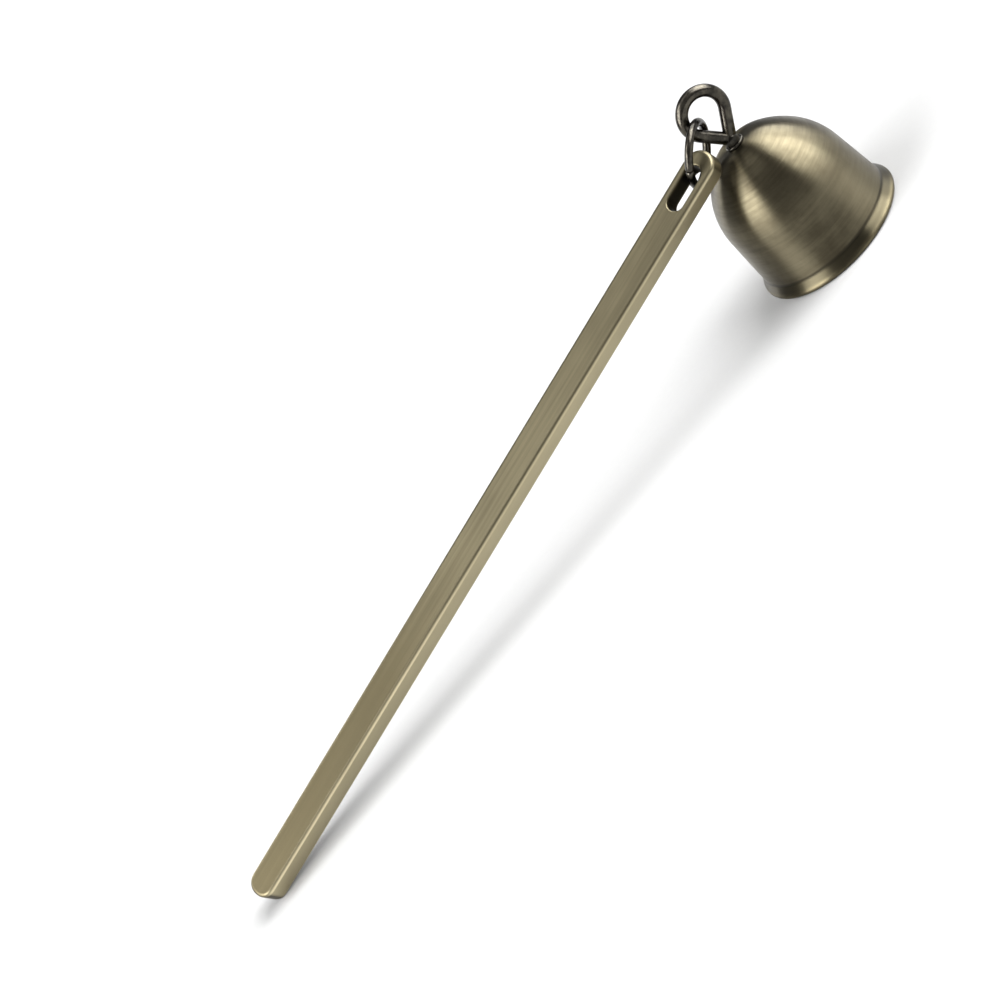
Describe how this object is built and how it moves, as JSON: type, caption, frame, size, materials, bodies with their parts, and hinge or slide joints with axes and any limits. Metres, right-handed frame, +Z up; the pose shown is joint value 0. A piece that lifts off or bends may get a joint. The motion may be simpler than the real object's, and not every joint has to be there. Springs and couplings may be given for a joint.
{
  "type": "candle snuffer",
  "caption": "Candle snuffer: a small spun bell with a flared lip and a wire eye on its crown, linked by a loose ring to a long slotted bar handle.",
  "frame": {"origin": "the middle of the bell's mouth, on the plane of the lip's land, which is the table that the snuffer stands on", "axes": "+Z up along the bell's axis, from its mouth to its crown; the handle reaches from the ring towards -X and down to the table"},
  "size_m": [0.1701, 0.03, 0.0386],
  "materials": {
    "bell_brass": "satin antique brass, brushed round the bell",
    "handle_brass": "satin antique brass, brushed along the bar",
    "eye_bronze": "dark bronze plate, half polished",
    "ring_bronze": "dark bronze plate, half polished",
    "inner_steel": "plain zinc grey"
  },
  "bodies": {
    "bell": {"bell_shell": "bell_brass", "crown_collar": "eye_bronze", "wire_eye": "eye_bronze", "inner_washer": "inner_steel", "hex_nut": "inner_steel"},
    "ring": {"jump_ring": "ring_bronze"},
    "handle": {"handle_head": "handle_brass", "handle_bar": "handle_brass"}
  },
  "joints": [
    {"name": "ring_swing", "type": "hinge", "parent": "bell", "child": "ring", "pos_m": [-0.00302, 0, 0.03084], "axis": [-0.5714, 0, 0.8207], "range_deg": [-90, 10]},
    {"name": "handle_swing", "type": "hinge", "parent": "ring", "child": "handle", "pos_m": [-0.00591, -0.00153, 0.03005], "axis": [0.5795, -0.6113, -0.539], "range_deg": [-75, 34]}
  ]
}
